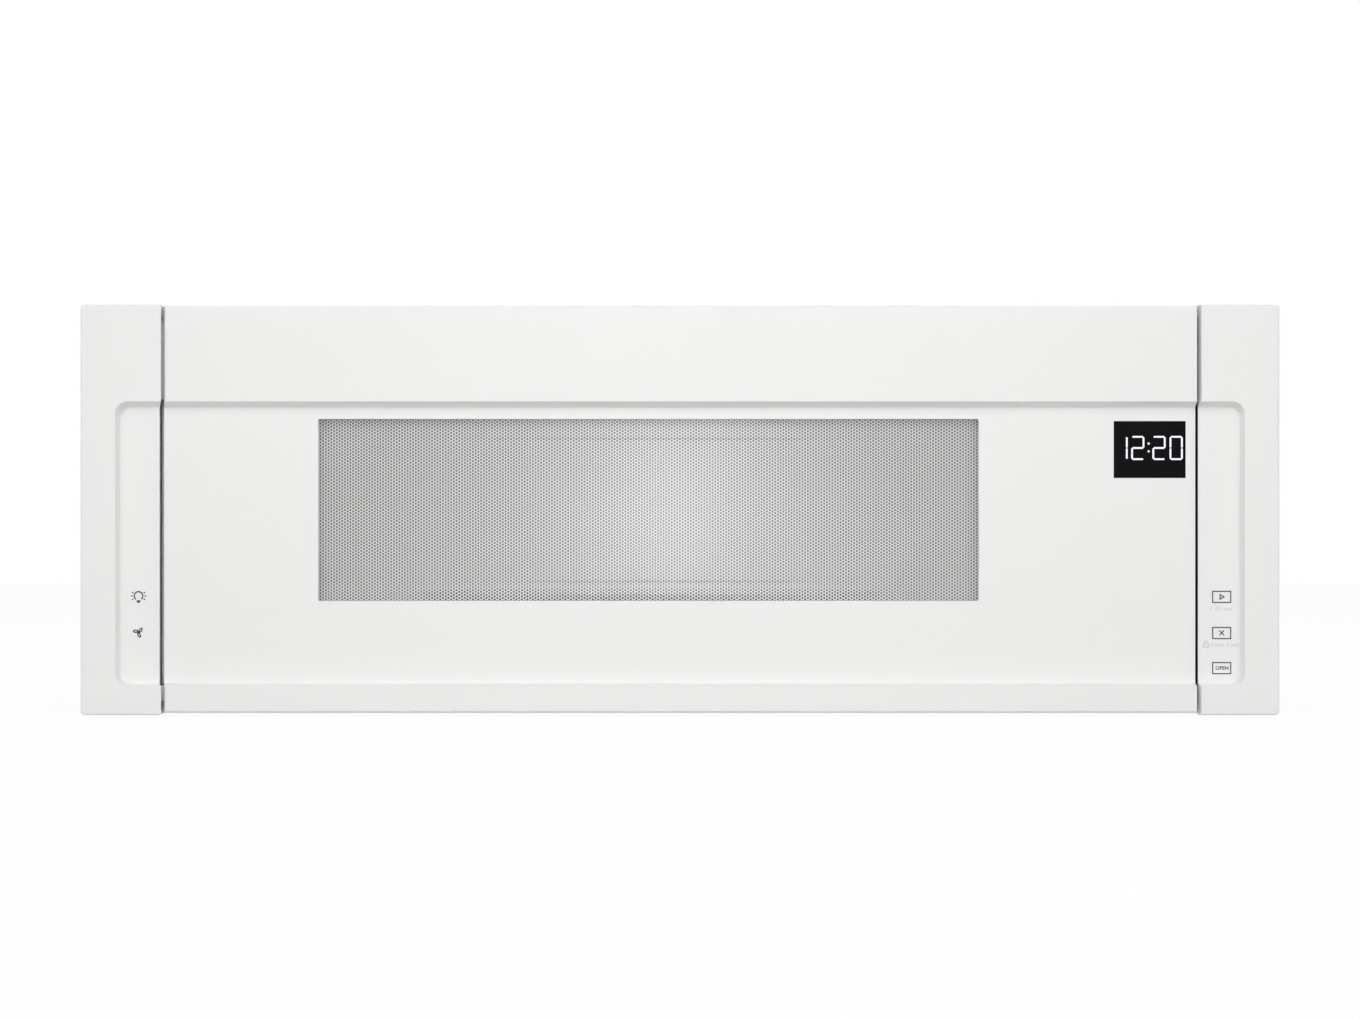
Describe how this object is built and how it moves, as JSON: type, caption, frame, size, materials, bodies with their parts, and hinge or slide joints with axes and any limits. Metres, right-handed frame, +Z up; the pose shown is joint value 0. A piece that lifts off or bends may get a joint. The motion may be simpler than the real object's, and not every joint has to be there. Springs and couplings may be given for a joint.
{
  "type": "over-the-range microwave oven",
  "caption": "Low-profile microwave oven for hanging over a range, with a side-hinged door between flush touch panels, turntable, vent blower, filters and wall plate.",
  "frame": {"origin": "centre of the footprint at the base", "axes": "+X to the right as seen from the front, +Y towards the wall, +Z up; the door faces -Y"},
  "size_m": [0.7604, 0.47, 0.2604],
  "materials": {
    "white_plastic": "gloss",
    "black_plastic": "fine grain",
    "white_plastic_inner": "satin",
    "painted_steel": "semi-gloss",
    "cavity_enamel": "satin enamel",
    "galvanised_steel": "spangled zinc",
    "clear_glass": "polished",
    "black_lens": "gloss",
    "frosted_plastic": "frosted",
    "circuit_board": "solder mask",
    "aluminium": "mill",
    "steel": "zinc plated",
    "core_steel": "varnished laminations",
    "mica": "flaky",
    "charcoal": "pleated",
    "rubber": "matt"
  },
  "bodies": {
    "cabinet": {"base_pan": "painted_steel", "rear_panel": "galvanised_steel", "outer_cover": "painted_steel", "front_plate": "painted_steel", "cavity_wrap": "cavity_enamel", "cavity_floor": "cavity_enamel", "cavity_back": "cavity_enamel", "left_end_panel": "white_plastic", "right_end_panel": "white_plastic", "control_housing": "black_plastic", "touch_boards": "circuit_board", "hinge_bracket_upper": "steel", "hinge_bracket_lower": "steel", "hinge_pins": "steel", "vent_grille": "white_plastic_inner", "charcoal_filter": "charcoal", "mounting_plate": "galvanised_steel", "cabinet_bolt_plates": "galvanised_steel", "cord_grommet": "rubber", "blower_housing": "black_plastic", "blower_motor": "steel", "light_lenses": "frosted_plastic", "cooktop_lamps": "circuit_board", "turntable_motor": "steel", "waveguide": "galvanised_steel", "waveguide_cover": "mica", "magnetron": "steel", "component_shelf": "galvanised_steel", "hv_transformer": "core_steel", "hv_capacitor": "aluminium", "fan_shroud": "black_plastic", "fan_motor": "steel", "power_board": "circuit_board", "interlock_bracket": "white_plastic_inner", "interlock_switches": "black_plastic", "door_opener": "black_plastic", "cavity_lamp": "galvanised_steel"},
    "door": {"door_fascia": "white_plastic", "window_pane": "clear_glass", "display_lens": "black_lens", "display_module": "circuit_board", "door_screen": "painted_steel", "choke_frame": "painted_steel", "choke_cover": "white_plastic_inner", "inner_window": "clear_glass", "latch_spring": "steel"},
    "latch": {"latch_hooks": "white_plastic_inner"},
    "opener": {"opener_plunger": "steel"},
    "turntable_drive": {"turntable_coupler": "white_plastic_inner"},
    "tray": {"glass_tray": "clear_glass"},
    "roller_carriage": {"roller_ring": "white_plastic_inner"},
    "roller_a": {"roller_1": "white_plastic_inner"},
    "roller_b": {"roller_2": "white_plastic_inner"},
    "roller_c": {"roller_3": "white_plastic_inner"},
    "blower": {"blower_wheels": "black_plastic", "blower_shaft": "steel"},
    "fan": {"cooling_fan": "black_plastic"},
    "filter_left": {"grease_filter_left": "aluminium"},
    "filter_right": {"grease_filter_right": "aluminium"}
  },
  "joints": [
    {"name": "door_hinge", "type": "hinge", "parent": "cabinet", "child": "door", "pos_m": [-0.3129, -0.225, 0.13], "axis": [0, 0, -1], "range_deg": [0, 95]},
    {"name": "opener_lift", "type": "slide", "parent": "cabinet", "child": "opener", "axis": [0, 0, 1], "range_m": [-0.006, 0]},
    {"name": "latch_lift", "type": "slide", "parent": "door", "child": "latch", "axis": [0, 0, 1], "range_m": [-0.006, 0], "stiffness_N_per_m": 60, "springref_m": -0.009, "deforming": ["latch_spring"]},
    {"name": "turntable_spin", "type": "hinge", "parent": "cabinet", "child": "turntable_drive", "pos_m": [-0.02, -0.024, 0.045], "axis": [0, 0, 1], "continuous": true},
    {"name": "tray_lift", "type": "slide", "parent": "turntable_drive", "child": "tray", "axis": [0, 0, 1], "range_m": [0, 0.05]},
    {"name": "carriage_spin", "type": "hinge", "parent": "cabinet", "child": "roller_carriage", "pos_m": [-0.02, -0.024, 0.0538], "axis": [0, 0, 1], "continuous": true},
    {"name": "roller_a_spin", "type": "hinge", "parent": "roller_carriage", "child": "roller_a", "pos_m": [0.08, -0.024, 0.0538], "axis": [1, 0, 0], "continuous": true},
    {"name": "roller_b_spin", "type": "hinge", "parent": "roller_carriage", "child": "roller_b", "pos_m": [-0.07, 0.0626, 0.0538], "axis": [-0.5, 0.866, 0], "continuous": true},
    {"name": "roller_c_spin", "type": "hinge", "parent": "roller_carriage", "child": "roller_c", "pos_m": [-0.07, -0.1106, 0.0538], "axis": [-0.5, -0.866, 0], "continuous": true},
    {"name": "blower_spin", "type": "hinge", "parent": "cabinet", "child": "blower", "pos_m": [0, 0.184, 0.214], "axis": [1, 0, 0], "continuous": true},
    {"name": "fan_spin", "type": "hinge", "parent": "cabinet", "child": "fan", "pos_m": [0.318, 0.196, 0.16], "axis": [0, 1, 0], "continuous": true},
    {"name": "filter_left_drop", "type": "hinge", "parent": "cabinet", "child": "filter_left", "pos_m": [-0.3484, 0.035, 0.0032], "axis": [0, 1, 0], "range_deg": [0, 70]},
    {"name": "filter_right_drop", "type": "hinge", "parent": "cabinet", "child": "filter_right", "pos_m": [0.3484, 0.035, 0.0032], "axis": [0, -1, 0], "range_deg": [0, 70]}
  ],
  "couplings": [
    {"joint": "latch_lift", "follows": "opener_lift", "ratio": 1},
    {"joint": "carriage_spin", "follows": "turntable_spin", "ratio": 0.5},
    {"joint": "roller_a_spin", "follows": "turntable_spin", "ratio": -6.6667},
    {"joint": "roller_b_spin", "follows": "turntable_spin", "ratio": -6.6667},
    {"joint": "roller_c_spin", "follows": "turntable_spin", "ratio": -6.6667}
  ]
}
